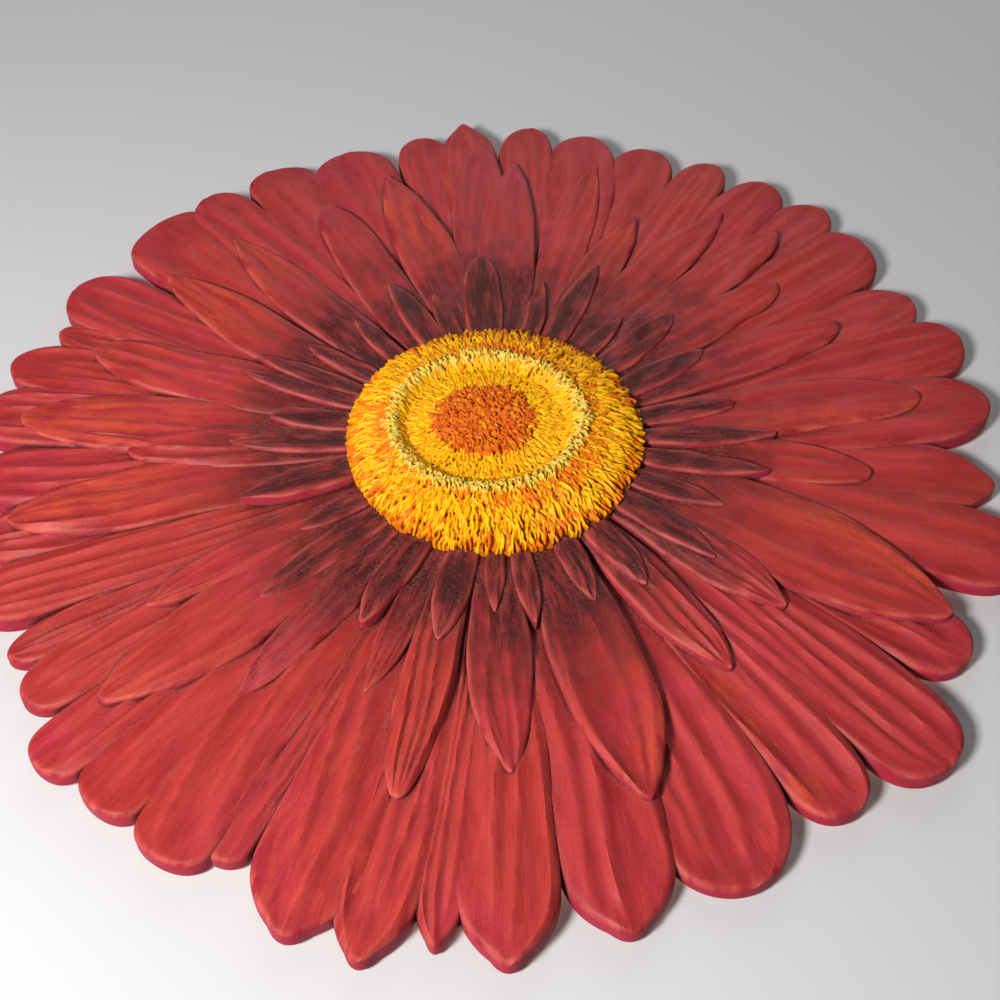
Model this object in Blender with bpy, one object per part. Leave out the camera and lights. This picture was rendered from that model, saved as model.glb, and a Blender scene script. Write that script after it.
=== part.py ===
"""Ceramic wall plaque: a gerbera daisy cast in relief, one solid with a flat back.

The flower stands upright as it hangs. X runs to the right, Z runs up, the front
faces -Y and the flat back lies on the plane y = 0 with the origin at its centre.
"""
import math
from enum import Enum
from typing import NamedTuple

import bmesh
import bpy
from mathutils import Vector

# Driving dimensions, in metres
PLAQUE_RADIUS = 0.1410       # centre to the mean petal tip
DISC_RADIUS = 0.0400         # floret disc in the middle
DISC_EDGE_HEIGHT = 0.0076    # top of the disc's rim above the back
DISC_CROWN_HEIGHT = 0.0136   # middle of the disc above the back
RIM_DRAFT = 0.0002           # petal walls widen by this towards the back
WEB_THICKNESS = 0.0020       # slab that closes the gaps between petal roots
ROOT_TUCK = 0.0090           # petals start this far inside the disc's edge
TUFT_DEPTH = 0.0009          # height of the tufts on the disc
WIRE_HOLE_DIAMETER = 0.0036  # blind holes for a hanging wire
WIRE_HOLE_DEPTH = 0.0035
WIRE_HOLE_SPACING = 0.0400   # between the two holes
WIRE_HOLE_HEIGHT = 0.0500    # above the plaque's centre

# Facets
TUFTS_ROUND_DISC = 54
HOLE_SIDES = 12
BACK_OVERRUN = 0.0015        # raw petals run past the back plane and are trimmed
OVERRUN_STEP = 0.00002       # keeps the raw bottoms off one another
SLIVER = 0.000006            # corners closer than this are merged

# Finish
RED_CLAY = (0.42, 0.035, 0.04, 1.0)
CLAY_ROUGHNESS = 0.55


class Tip(Enum):
    """How a petal ends: the two powers of the curve that closes its sides."""

    POINTED = (3.2, 0.95)
    ROUND = (4.0, 0.50)
    BLUNT = (8.0, 0.50)
    OVAL = (2.6, 0.50)
    LEAF = (2.2, 0.75)


class Petal(NamedTuple):
    """One petal; reach and width are shares of the plaque's radius."""

    bearing: float           # of the tip, degrees clockwise from the top
    reach: float             # centre to tip
    width: float             # at the widest place
    tip: Tip = Tip.ROUND
    lean: float = 0.0        # bearing of the root past the tip's, degrees
    lift: float = 0.0        # 1 lies over its neighbours, 0 lies under them


class Ring(NamedTuple):
    """What the petals of one ring share; heights are above the back."""

    root_height: float
    rim_height: float        # at the plaque's radius, along the ring's slope
    lift_height: float       # how far a petal of lift 1 stands over one of 0
    edge_drop: float         # how far a petal's edges roll down
    groove_depth: float      # of the channel along its middle
    widest_at: float         # share of the length from the root
    root_share: float        # width at the root over the full width
    tip_offset: float        # the ring of tips stands this far above the disc's centre
    closing_steps: int       # cross-sections from the widest place to the tip
    petals: tuple


P, R, B, O, L = Tip.POINTED, Tip.ROUND, Tip.BLUNT, Tip.OVAL, Tip.LEAF

OUTER_RING = Ring(
    root_height=0.0025, rim_height=0.0054, lift_height=0.0009, edge_drop=0.0008,
    groove_depth=0.0003, widest_at=0.80, root_share=0.35, tip_offset=0.0005,
    closing_steps=4,
    petals=(
        Petal(4.9, 0.987, 0.130, R, 0, 0.0), Petal(13.2, 0.967, 0.155, R, 4, 1.0),
        Petal(21.4, 0.969, 0.150, R, 3, 0.0), Petal(30.4, 0.975, 0.120, R, 1, 1.0),
        Petal(39.0, 0.987, 0.135, R, 0, 0.5), Petal(46.4, 1.000, 0.135, R, 1, 0.0),
        Petal(55.5, 0.978, 0.180, R, 0, 1.0), Petal(66.3, 0.957, 0.160, O, 0, 0.0),
        Petal(74.6, 0.989, 0.155, R, 1, 0.5), Petal(85.0, 0.974, 0.170, O, 0, 1.0),
        Petal(96.8, 0.942, 0.165, L, -2, 0.0), Petal(106.5, 0.992, 0.180, R, -1, 0.5),
        Petal(122.0, 0.944, 0.145, R, -4, 0.0), Petal(134.2, 1.011, 0.180, R, -6, 1.0),
        Petal(143.5, 0.962, 0.142, R, -3, 0.5), Petal(156.3, 0.982, 0.215, O, -3, 0.0),
        Petal(167.8, 0.993, 0.185, P, -1, 0.5), Petal(178.9, 1.019, 0.165, P, 0, 1.0),
        Petal(184.8, 0.994, 0.095, P, 0, 0.0), Petal(190.9, 1.033, 0.140, P, 0, 0.5),
        Petal(197.2, 1.023, 0.185, P, 2, 1.0), Petal(206.4, 0.954, 0.095, B, 2, 0.0),
        Petal(211.8, 0.999, 0.145, B, 3, 1.0), Petal(220.0, 0.994, 0.135, B, 2, 0.5),
        Petal(227.2, 1.013, 0.120, B, 2, 0.0), Petal(234.6, 0.971, 0.115, R, 2, 0.5),
        Petal(240.3, 0.961, 0.100, O, 0, 0.0), Petal(247.5, 0.989, 0.135, R, 0, 1.0),
        Petal(256.0, 0.978, 0.130, O, 0, 0.0), Petal(264.5, 0.997, 0.140, R, 0, 0.5),
        Petal(274.5, 1.010, 0.155, R, 0, 1.0), Petal(283.0, 0.997, 0.140, O, 0, 0.5),
        Petal(289.2, 0.948, 0.100, O, 0, 0.0), Petal(296.0, 0.987, 0.170, R, -2, 0.5),
        Petal(309.6, 0.980, 0.205, B, -1, 1.0),
        Petal(318.4, 0.970, 0.145, R, 1, 1.3), Petal(328.2, 0.970, 0.165, B, 0, 0.5),
        Petal(337.8, 0.957, 0.195, R, 2, 0.0), Petal(349.9, 0.964, 0.125, R, 0, 0.0),
        Petal(355.2, 0.993, 0.135, P, 4, 1.0),
    ),
)

MIDDLE_RING = Ring(
    root_height=0.0045, rim_height=0.0065, lift_height=0.0008, edge_drop=0.0007,
    groove_depth=0.0003, widest_at=0.56, root_share=0.55, tip_offset=0.0003,
    closing_steps=4,
    petals=(
        Petal(2.3, 0.830, 0.125, L, 1, 1.0), Petal(357.4, 0.898, 0.125, O, -1, 0.0),
        Petal(15.3, 0.860, 0.100, L, 0, 0.0), Petal(25.7, 0.710, 0.095, L, -2, 1.0),
        Petal(37.2, 0.825, 0.110, L, -3, 0.5), Petal(45.8, 0.848, 0.105, O, 0, 1.0),
        Petal(54.0, 0.730, 0.095, O, 0, 1.0), Petal(66.4, 0.765, 0.100, O, 0, 1.0),
        Petal(82.0, 0.840, 0.135, O, 0, 0.5), Petal(97.3, 0.712, 0.100, O, -4, 0.0),
        Petal(118.0, 0.888, 0.200, L, -6, 1.0), Petal(128.0, 0.639, 0.100, L, -4, 1.4),
        Petal(143.0, 0.652, 0.100, L, -3, 1.0), Petal(162.2, 0.797, 0.155, L, -3, 1.0),
        Petal(178.6, 0.712, 0.110, L, 1, 1.0), Petal(191.2, 0.770, 0.090, O, 2, 1.0),
        Petal(201.3, 0.600, 0.065, L, 0, 0.5), Petal(216.9, 0.708, 0.085, L, 1, 0.5),
        Petal(227.8, 0.871, 0.155, L, 1, 1.0), Petal(238.0, 0.720, 0.100, L, 2, 0.5),
        Petal(257.0, 0.910, 0.155, O, 4, 0.0), Petal(268.3, 0.700, 0.105, O, 0, 1.0),
        Petal(273.6, 0.920, 0.145, O, 0, 0.5), Petal(286.0, 0.844, 0.135, O, 0, 1.0),
        Petal(304.2, 0.830, 0.120, L, -5, 0.5), Petal(315.4, 0.803, 0.115, L, -1, 1.0),
        Petal(331.5, 0.785, 0.120, O, 0, 0.5), Petal(342.3, 0.827, 0.125, L, 5, 1.0),
    ),
)

COLLAR_RING = Ring(
    root_height=0.0059, rim_height=0.0074, lift_height=0.0005, edge_drop=0.0006,
    groove_depth=0.0002, widest_at=0.50, root_share=0.55, tip_offset=-0.0001,
    closing_steps=3,
    petals=(
        Petal(356.2, 0.511, 0.082, O, 0, 1.0), Petal(12.6, 0.445, 0.044, L, 2, 0.5),
        Petal(24.1, 0.529, 0.060, L, 0, 1.0), Petal(38.6, 0.415, 0.044, L, 0, 0.5),
        Petal(48.0, 0.493, 0.066, O, 2, 1.0), Petal(61.0, 0.476, 0.060, L, 3, 1.0),
        Petal(79.8, 0.473, 0.050, L, 0, 0.5), Petal(89.8, 0.537, 0.045, L, 0, 0.5),
        Petal(100.0, 0.521, 0.050, L, 0, 0.5), Petal(112.0, 0.452, 0.050, L, -1, 0.5),
        Petal(126.0, 0.489, 0.060, L, -3, 1.0), Petal(142.0, 0.437, 0.058, L, -2, 1.0),
        Petal(155.3, 0.416, 0.052, L, -2, 0.5), Petal(170.7, 0.430, 0.044, L, 0, 0.5),
        Petal(180.0, 0.402, 0.036, L, 0, 0.5), Petal(191.8, 0.470, 0.066, L, 0, 1.0),
        Petal(209.2, 0.482, 0.064, L, 0, 1.0), Petal(227.6, 0.552, 0.066, L, 1, 0.5),
        Petal(238.2, 0.417, 0.044, L, 0, 0.5), Petal(251.8, 0.491, 0.064, L, 3, 1.0),
        Petal(268.5, 0.506, 0.056, L, 0, 0.5), Petal(277.8, 0.440, 0.054, O, 0, 1.0),
        Petal(289.6, 0.535, 0.048, L, -1, 0.5), Petal(294.2, 0.524, 0.044, L, 0, 1.0),
        Petal(303.4, 0.452, 0.044, L, 0, 0.5), Petal(318.0, 0.430, 0.044, L, 0, 0.5),
        Petal(332.7, 0.482, 0.060, L, 2, 1.0), Petal(342.2, 0.417, 0.046, L, 1, 0.5),
    ),
)


def plan_point(bearing: float, radius: float) -> Vector:
    """A point of the front view, x to the right and y up, from its bearing."""
    angle = math.radians(bearing)
    return Vector((radius * math.sin(angle), radius * math.cos(angle)))


def upright(plan: Vector, height: float) -> Vector:
    """Stands a front-view point up, the given height in front of the back."""
    return Vector((plan.x, -height, plan.y))


def half_width(petal: Petal, ring: Ring, share: float) -> float:
    """Half a petal's width at a share of its length from the root."""
    full = petal.width * PLAQUE_RADIUS / 2
    if share <= ring.widest_at:
        swell = math.sin(math.pi / 2 * share / ring.widest_at)
        return full * (ring.root_share + (1 - ring.root_share) * swell)
    closing, roundness = petal.tip.value
    beyond = (share - ring.widest_at) / (1 - ring.widest_at)
    return full * max(1 - beyond ** closing, 0.02) ** roundness


def station_shares(ring: Ring) -> list:
    """Places of the cross-sections along a petal, closer together at its tip."""
    widest = ring.widest_at
    quarter = math.pi / 2 / ring.closing_steps
    closing = [widest + (1 - widest) * math.sin(quarter * k) for k in range(1, ring.closing_steps + 1)]
    return [0.0, widest / 2, widest, *closing]


def section(ring: Ring) -> tuple:
    """Cross-section of a petal as pairs of share across and drop below its ridge."""
    return (
        (-1.0, ring.edge_drop), (-0.72, ring.edge_drop * 0.15), (0.0, ring.groove_depth),
        (0.72, ring.edge_drop * 0.15), (1.0, ring.edge_drop),
    )


def add_closed_grid(bm: bmesh.types.BMesh, rows: list, floor_rows: list) -> None:
    """Closes a grid of top points and the matching grid below it into a solid."""
    tops = [[bm.verts.new(point) for point in row] for row in rows]
    floors = [[bm.verts.new(point) for point in (row[0], row[-1])] for row in floor_rows]
    last = len(tops) - 1
    faces = []
    for i in range(last):
        for j in range(len(tops[i]) - 1):
            faces.append((tops[i][j], tops[i][j + 1], tops[i + 1][j + 1], tops[i + 1][j]))
        faces.append((floors[i][0], tops[i][0], tops[i + 1][0], floors[i + 1][0]))
        faces.append((tops[i][-1], floors[i][1], floors[i + 1][1], tops[i + 1][-1]))
        faces.append((floors[i][1], floors[i][0], floors[i + 1][0], floors[i + 1][1]))
    faces.append((floors[0][0], floors[0][1], *reversed(tops[0])))
    faces.append((*tops[last], floors[last][1], floors[last][0]))
    for face in faces:
        bm.faces.new(face)


def add_petal(bm: bmesh.types.BMesh, petal: Petal, ring: Ring, overrun: float) -> None:
    """Adds one petal, from its top surface down to a little behind the back."""
    root_radius = DISC_RADIUS - ROOT_TUCK
    root = plan_point(petal.bearing + petal.lean, root_radius)
    tip = plan_point(petal.bearing, petal.reach * PLAQUE_RADIUS) + Vector((0, ring.tip_offset))
    outward = plan_point(petal.bearing + petal.lean, 1.0)
    bend = root + outward * (tip - root).length / 2
    tops = []
    floors = []
    for share in station_shares(ring):
        middle = root * (1 - share) ** 2 + bend * 2 * share * (1 - share) + tip * share ** 2
        along = ((bend - root) * (1 - share) + (tip - bend) * share).normalized()
        across = Vector((along.y, -along.x))
        half = half_width(petal, ring, share)
        climb = (middle.length - root_radius) / (PLAQUE_RADIUS - root_radius)
        ridge = ring.root_height + (ring.rim_height - ring.root_height) * climb
        ridge += petal.lift * ring.lift_height
        tops.append([
            upright(middle + across * side * half, ridge - drop) for side, drop in section(ring)
        ])
        floors.append([
            upright(middle + across * side * (half + RIM_DRAFT), -overrun) for side in (-1, 1)
        ])
    add_closed_grid(bm, tops, floors)


def disc_profile() -> list:
    """Turned outline of the disc: share of its radius, share of its rise, tuft share."""
    return [
        (0.16, 0.93, 1.0), (0.28, 0.88, 1.0), (0.38, 0.70, 0.6), (0.47, 0.62, 0.6),
        (0.54, 0.52, 0.5), (0.60, 0.92, 1.2), (0.68, 0.96, 1.2), (0.76, 0.72, 1.0),
        (0.85, 0.52, 1.0), (0.93, 0.28, 1.0), (1.00, -0.10, 0.6),
    ]


def add_disc(bm: bmesh.types.BMesh, overrun: float) -> None:
    """Adds the floret disc, a turned dome with tufts that alternate round it."""
    rise = DISC_CROWN_HEIGHT - DISC_EDGE_HEIGHT
    rings = []
    for row, (radius_share, rise_share, tuft) in enumerate(disc_profile()):
        ring = []
        for j in range(TUFTS_ROUND_DISC):
            bump = TUFT_DEPTH * tuft * (0.5 if (row + j) % 2 else -0.5)
            plan = plan_point(360 * j / TUFTS_ROUND_DISC, DISC_RADIUS * radius_share + bump)
            ring.append(bm.verts.new(upright(plan, DISC_EDGE_HEIGHT + rise * rise_share + bump)))
        rings.append(ring)
    floor = []
    for j in range(TUFTS_ROUND_DISC):
        plan = plan_point(360 * j / TUFTS_ROUND_DISC, DISC_RADIUS - RIM_DRAFT)
        floor.append(bm.verts.new(upright(plan, -overrun)))
    rings.append(floor)
    crown = bm.verts.new(upright(Vector((0, 0)), DISC_CROWN_HEIGHT))
    for j in range(TUFTS_ROUND_DISC):
        k = (j + 1) % TUFTS_ROUND_DISC
        bm.faces.new((crown, rings[0][j], rings[0][k]))
        for inner, outer in zip(rings, rings[1:]):
            bm.faces.new((inner[j], outer[j], outer[k], inner[k]))
    bm.faces.new(list(reversed(floor)))


def add_web(bm: bmesh.types.BMesh, overrun: float) -> None:
    """Adds the slab behind the petals, wide enough to reach their notches."""
    made = bmesh.ops.create_cone(
        bm, cap_ends=True, segments=TUFTS_ROUND_DISC, radius1=PLAQUE_RADIUS * 0.78,
        radius2=PLAQUE_RADIUS * 0.76, depth=WEB_THICKNESS + overrun,
    )
    for vert in made["verts"]:
        x, y, z = vert.co
        height = z + (WEB_THICKNESS + overrun) / 2 - overrun
        vert.co = upright(Vector((x, y)), height)


def new_object(name: str, bm: bmesh.types.BMesh) -> bpy.types.Object:
    """Turns a bmesh into an object with outward faces, linked to the scene."""
    bmesh.ops.recalc_face_normals(bm, faces=bm.faces)
    mesh = bpy.data.meshes.new(name)
    bm.to_mesh(mesh)
    bm.free()
    obj = bpy.data.objects.new(name, mesh)
    bpy.context.scene.collection.objects.link(obj)
    return obj


def hide_cutter(obj: bpy.types.Object) -> None:
    """Marks an object as a cutter, which isn't part of the plaque."""
    obj.hide_render = True
    obj.display_type = "WIRE"


def make_back_cutter() -> bpy.types.Object:
    """A box behind the plane of the back, which trims every petal flat."""
    bm = bmesh.new()
    side = PLAQUE_RADIUS * 3
    bmesh.ops.create_cube(bm, size=side)
    for vert in bm.verts:
        vert.co.y += side / 2
    cutter = new_object("back_cutter", bm)
    hide_cutter(cutter)
    return cutter


def make_hole_cutter() -> bpy.types.Object:
    """Two pegs that drill the blind holes for a hanging wire."""
    bm = bmesh.new()
    length = WIRE_HOLE_DEPTH * 2
    for side in (-1, 1):
        made = bmesh.ops.create_cone(
            bm, cap_ends=True, segments=HOLE_SIDES, radius1=WIRE_HOLE_DIAMETER / 2,
            radius2=WIRE_HOLE_DIAMETER / 2, depth=length,
        )
        for vert in made["verts"]:
            x, y, z = vert.co
            vert.co = Vector((x + side * WIRE_HOLE_SPACING / 2, -z, y + WIRE_HOLE_HEIGHT))
    cutter = new_object("hole_cutter", bm)
    hide_cutter(cutter)
    return cutter


def clay_material() -> bpy.types.Material:
    """Red painted clay."""
    material = bpy.data.materials.new("painted_red_clay")
    material.use_nodes = True
    shader = material.node_tree.nodes["Principled BSDF"]
    shader.inputs["Base Color"].default_value = RED_CLAY
    shader.inputs["Roughness"].default_value = CLAY_ROUGHNESS
    return material


def cut(obj: bpy.types.Object, name: str, cutter: bpy.types.Object) -> None:
    """Cuts an object with another through a Boolean modifier."""
    boolean = obj.modifiers.new(name, "BOOLEAN")
    boolean.operation = "DIFFERENCE"
    boolean.solver = "EXACT"
    boolean.object = cutter


def make_plaque() -> None:
    """Builds the plaque: raw petals and disc, united and trimmed to a flat back."""
    bm = bmesh.new()
    overrun = BACK_OVERRUN
    for ring in (OUTER_RING, MIDDLE_RING, COLLAR_RING):
        for petal in ring.petals:
            add_petal(bm, petal, ring, overrun)
            overrun += OVERRUN_STEP
    add_disc(bm, overrun + OVERRUN_STEP)
    plaque = new_object("flower_plaque", bm)

    bm = bmesh.new()
    add_web(bm, BACK_OVERRUN - OVERRUN_STEP)
    web = new_object("web", bm)
    hide_cutter(web)

    union = plaque.modifiers.new("unite", "BOOLEAN")
    union.operation = "UNION"
    union.solver = "EXACT"
    union.use_self = True
    union.object = web
    cut(plaque, "flat_back", make_back_cutter())
    cut(plaque, "wire_holes", make_hole_cutter())
    weld = plaque.modifiers.new("weld_slivers", "WELD")
    weld.merge_threshold = SLIVER
    plaque.data.materials.append(clay_material())


def main() -> None:
    """Clears the scene and builds the plaque in it."""
    for obj in list(bpy.data.objects):
        bpy.data.objects.remove(obj)
    make_plaque()


main()
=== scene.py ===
"""Hand-painted ceramic wall plaque: a red gerbera daisy in relief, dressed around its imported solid.

The flower hangs upright as its solid does. X runs to the right, Z runs up, the front faces -Y
and the flat back lies on the plane y = 0. In the code below a front view is drawn as x to the
right and y up, and height is measured forward from the back.
"""

import logging
import math
from dataclasses import dataclass
from enum import Enum
from typing import ClassVar

import bpy
import numpy as np
from bpy.types import Material, Mesh, Node, NodeSocket, NodeTree, Object
from mathutils import Matrix, Vector


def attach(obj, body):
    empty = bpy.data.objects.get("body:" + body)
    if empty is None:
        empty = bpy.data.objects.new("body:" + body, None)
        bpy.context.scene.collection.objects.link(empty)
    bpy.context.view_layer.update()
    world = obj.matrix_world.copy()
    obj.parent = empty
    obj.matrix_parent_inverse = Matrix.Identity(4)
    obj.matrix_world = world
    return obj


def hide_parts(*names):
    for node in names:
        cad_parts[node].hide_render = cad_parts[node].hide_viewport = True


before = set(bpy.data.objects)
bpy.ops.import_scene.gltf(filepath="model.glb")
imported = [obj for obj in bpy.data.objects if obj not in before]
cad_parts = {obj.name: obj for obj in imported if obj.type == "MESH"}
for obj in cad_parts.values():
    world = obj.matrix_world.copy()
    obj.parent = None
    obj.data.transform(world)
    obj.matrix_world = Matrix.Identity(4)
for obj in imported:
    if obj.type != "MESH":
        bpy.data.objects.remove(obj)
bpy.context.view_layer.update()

NODE = "flower_plaque"
BODY = "root"
MM = 0.001
TURN = 2 * math.pi
UPRIGHT = (math.pi / 2, 0, 0)
LOG = logging.getLogger("plaque")
Sockets = dict[str, NodeSocket]

# Sizes shared by the rings of petals and the disc, in metres, as in the solid
PLAQUE_RADIUS = 0.1410
DISC_RADIUS = 0.0400
ROOT_TUCK = 0.0090
ROOT_RADIUS = DISC_RADIUS - ROOT_TUCK
RIM_DRAFT = 0.0002


class Tip(Enum):
    """How a petal ends: the two powers of the curve that closes its sides."""

    POINTED = (3.2, 0.95)
    ROUND = (4.0, 0.50)
    BLUNT = (8.0, 0.50)
    OVAL = (2.6, 0.50)
    LEAF = (2.2, 0.75)


class Wash(Enum):
    """Colour brushed over a petal's crimson: shares of orange, mauve and pink, and the side it keeps to."""

    NONE = (0.0, 0.0, 0.0, 0.0)
    EMBER = (0.35, 0.0, 0.0, 0.0)
    ORANGE = (0.85, 0.0, 0.0, 0.0)
    ORANGE_LEFT = (0.95, 0.0, 0.0, -1.0)
    ORANGE_RIGHT = (0.95, 0.0, 0.0, 1.0)
    MAUVE = (0.0, 0.9, 0.0, 0.0)
    PINK = (0.0, 0.15, 0.8, 0.0)


@dataclass(frozen=True)
class Petal:
    """One petal; reach and width are shares of the plaque's radius.

    Attributes:
        bearing: of the tip, degrees clockwise from the top.
        reach: centre to tip.
        width: at the widest place.
        tip: how it ends.
        lean: bearing of the root past the tip's, degrees.
        lift: 1 lies over its neighbours, 0 lies under them.
        wash: colour brushed over it.
        dish: how hollow it is; 1 is a deep bowl with a raised left border.
    """

    bearing: float
    reach: float
    width: float
    tip: Tip = Tip.ROUND
    lean: float = 0.0
    lift: float = 0.0
    wash: Wash = Wash.NONE
    dish: float = 0.12


P, R, B, O, L = Tip.POINTED, Tip.ROUND, Tip.BLUNT, Tip.OVAL, Tip.LEAF
PLAIN, EMBER, ORANGE, MAUVE, PINK = Wash.NONE, Wash.EMBER, Wash.ORANGE, Wash.MAUVE, Wash.PINK
ORANGE_L, ORANGE_R = Wash.ORANGE_LEFT, Wash.ORANGE_RIGHT

OUTER_PETALS = tuple(Petal(*row) for row in (
    (4.9, 0.987, 0.130, R, 0, 0.0), (13.2, 0.967, 0.155, R, 4, 1.0),
    (21.4, 0.969, 0.150, R, 3, 0.0), (30.4, 0.975, 0.120, R, 1, 1.0),
    (39.0, 0.987, 0.135, R, 0, 0.5), (46.4, 1.000, 0.135, R, 1, 0.0),
    (55.5, 0.978, 0.180, R, 0, 1.0), (66.3, 0.957, 0.160, O, 0, 0.0),
    (74.6, 0.989, 0.155, R, 1, 0.5), (85.0, 0.974, 0.170, O, 0, 1.0),
    (96.8, 0.942, 0.165, L, -2, 0.0), (106.5, 0.992, 0.180, R, -1, 0.5),
    (122.0, 0.944, 0.145, R, -4, 0.0, PLAIN, 0.4), (134.2, 1.011, 0.180, R, -6, 1.0, PLAIN, 0.4),
    (143.5, 0.962, 0.142, R, -3, 0.5, ORANGE_R, 0.7), (156.3, 0.982, 0.215, O, -3, 0.0, PLAIN, 1.2),
    (167.8, 0.993, 0.185, P, -1, 0.5), (178.9, 1.019, 0.165, P, 0, 1.0),
    (184.8, 0.994, 0.095, P, 0, 0.0), (190.9, 1.033, 0.140, P, 0, 0.5, EMBER),
    (197.2, 1.023, 0.185, P, 2, 1.0, EMBER), (206.4, 0.954, 0.095, B, 2, 0.0),
    (211.8, 0.999, 0.145, B, 3, 1.0), (220.0, 0.994, 0.135, B, 2, 0.5),
    (227.2, 1.013, 0.120, B, 2, 0.0, EMBER), (234.6, 0.971, 0.115, R, 2, 0.5),
    (240.3, 0.961, 0.100, O, 0, 0.0), (247.5, 0.989, 0.135, R, 0, 1.0),
    (256.0, 0.978, 0.130, O, 0, 0.0), (264.5, 0.997, 0.140, R, 0, 0.5),
    (274.5, 1.010, 0.155, R, 0, 1.0), (283.0, 0.997, 0.140, O, 0, 0.5),
    (289.2, 0.948, 0.100, O, 0, 0.0), (296.0, 0.987, 0.170, R, -2, 0.5),
    (309.6, 0.980, 0.205, B, -1, 1.0),
    (318.4, 0.970, 0.145, R, 1, 1.3), (328.2, 0.970, 0.165, B, 0, 0.5),
    (337.8, 0.957, 0.195, R, 2, 0.0), (349.9, 0.964, 0.125, R, 0, 0.0),
    (355.2, 0.993, 0.135, P, 4, 1.0),
))

MIDDLE_PETALS = tuple(Petal(*row) for row in (
    (2.3, 0.830, 0.125, L, 1, 1.0, MAUVE), (357.4, 0.898, 0.125, O, -1, 0.0, MAUVE),
    (15.3, 0.860, 0.100, L, 0, 0.0, EMBER), (25.7, 0.710, 0.095, L, -2, 1.0, ORANGE),
    (37.2, 0.825, 0.110, L, -3, 0.5), (45.8, 0.848, 0.105, O, 0, 1.0),
    (54.0, 0.730, 0.095, O, 0, 1.0), (66.4, 0.765, 0.100, O, 0, 1.0),
    (82.0, 0.840, 0.135, O, 0, 0.5, ORANGE_R), (97.3, 0.712, 0.100, O, -4, 0.0),
    (118.0, 0.888, 0.200, L, -6, 1.0, ORANGE_L), (128.0, 0.639, 0.100, L, -4, 1.4, EMBER),
    (143.0, 0.652, 0.100, L, -3, 1.0, EMBER), (162.2, 0.797, 0.155, L, -3, 1.0, ORANGE_L, 0.6),
    (178.6, 0.712, 0.110, L, 1, 1.0), (191.2, 0.770, 0.090, O, 2, 1.0, EMBER),
    (201.3, 0.600, 0.065, L, 0, 0.5, ORANGE), (216.9, 0.708, 0.085, L, 1, 0.5, PINK),
    (227.8, 0.871, 0.155, L, 1, 1.0, EMBER), (238.0, 0.720, 0.100, L, 2, 0.5),
    (257.0, 0.910, 0.155, O, 4, 0.0, ORANGE), (268.3, 0.700, 0.105, O, 0, 1.0, EMBER),
    (273.6, 0.920, 0.145, O, 0, 0.5, ORANGE), (286.0, 0.844, 0.135, O, 0, 1.0, EMBER),
    (304.2, 0.830, 0.120, L, -5, 0.5, ORANGE), (315.4, 0.803, 0.115, L, -1, 1.0, ORANGE),
    (331.5, 0.785, 0.120, O, 0, 0.5), (342.3, 0.827, 0.125, L, 5, 1.0, ORANGE),
))

COLLAR_PETALS = tuple(Petal(*row) for row in (
    (356.2, 0.511, 0.082, O, 0, 1.0), (12.6, 0.445, 0.044, L, 2, 0.5),
    (24.1, 0.529, 0.060, L, 0, 1.0), (38.6, 0.415, 0.044, L, 0, 0.5),
    (48.0, 0.493, 0.066, O, 2, 1.0), (61.0, 0.476, 0.060, L, 3, 1.0),
    (79.8, 0.473, 0.050, L, 0, 0.5), (89.8, 0.537, 0.045, L, 0, 0.5),
    (100.0, 0.521, 0.050, L, 0, 0.5), (112.0, 0.452, 0.050, L, -1, 0.5),
    (126.0, 0.489, 0.060, L, -3, 1.0), (142.0, 0.437, 0.058, L, -2, 1.0),
    (155.3, 0.416, 0.052, L, -2, 0.5), (170.7, 0.430, 0.044, L, 0, 0.5),
    (180.0, 0.402, 0.036, L, 0, 0.5), (191.8, 0.470, 0.066, L, 0, 1.0),
    (209.2, 0.482, 0.064, L, 0, 1.0), (227.6, 0.552, 0.066, L, 1, 0.5, ORANGE),
    (238.2, 0.417, 0.044, L, 0, 0.5), (251.8, 0.491, 0.064, L, 3, 1.0),
    (268.5, 0.506, 0.056, L, 0, 0.5), (277.8, 0.440, 0.054, O, 0, 1.0),
    (289.6, 0.535, 0.048, L, -1, 0.5), (294.2, 0.524, 0.044, L, 0, 1.0),
    (303.4, 0.452, 0.044, L, 0, 0.5), (318.0, 0.430, 0.044, L, 0, 0.5),
    (332.7, 0.482, 0.060, L, 2, 1.0), (342.2, 0.417, 0.046, L, 1, 0.5),
))


def linear(hex_colour: str) -> tuple[float, float, float, float]:
    """Turns an sRGB hex colour into the linear values that shaders take.

    Args:
        hex_colour: six hex digits after a #.

    Returns:
        Linear red, green and blue, and an alpha of 1.
    """
    parts = [int(hex_colour[i:i + 2], 16) / 255 for i in (1, 3, 5)]
    return (*[c / 12.92 if c <= 0.04045 else ((c + 0.055) / 1.055) ** 2.4 for c in parts], 1.0)


def plan(bearing: np.ndarray, radius: np.ndarray) -> np.ndarray:
    """Points of the front view from bearings in degrees clockwise from the top.

    Args:
        bearing: degrees, a number or an array.
        radius: metres from the centre, a number or an array.

    Returns:
        An array whose last axis holds x and y.
    """
    angle = np.radians(bearing)
    return np.stack([radius * np.sin(angle), radius * np.cos(angle)], axis=-1)


def smooth_step(low: float, high: float, value: np.ndarray) -> np.ndarray:
    """An eased ramp from 0 at low to 1 at high."""
    x = np.clip((value - low) / (high - low), 0, 1)
    return x * x * (3 - 2 * x)


def deselect_all() -> None:
    """Leaves nothing selected, so that an operator acts on its own object alone."""
    bpy.ops.object.select_all(action="DESELECT")


def pick(obj: Object) -> None:
    """Selects one object alone and makes it active."""
    deselect_all()
    obj.select_set(True)
    bpy.context.view_layer.objects.active = obj


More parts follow.
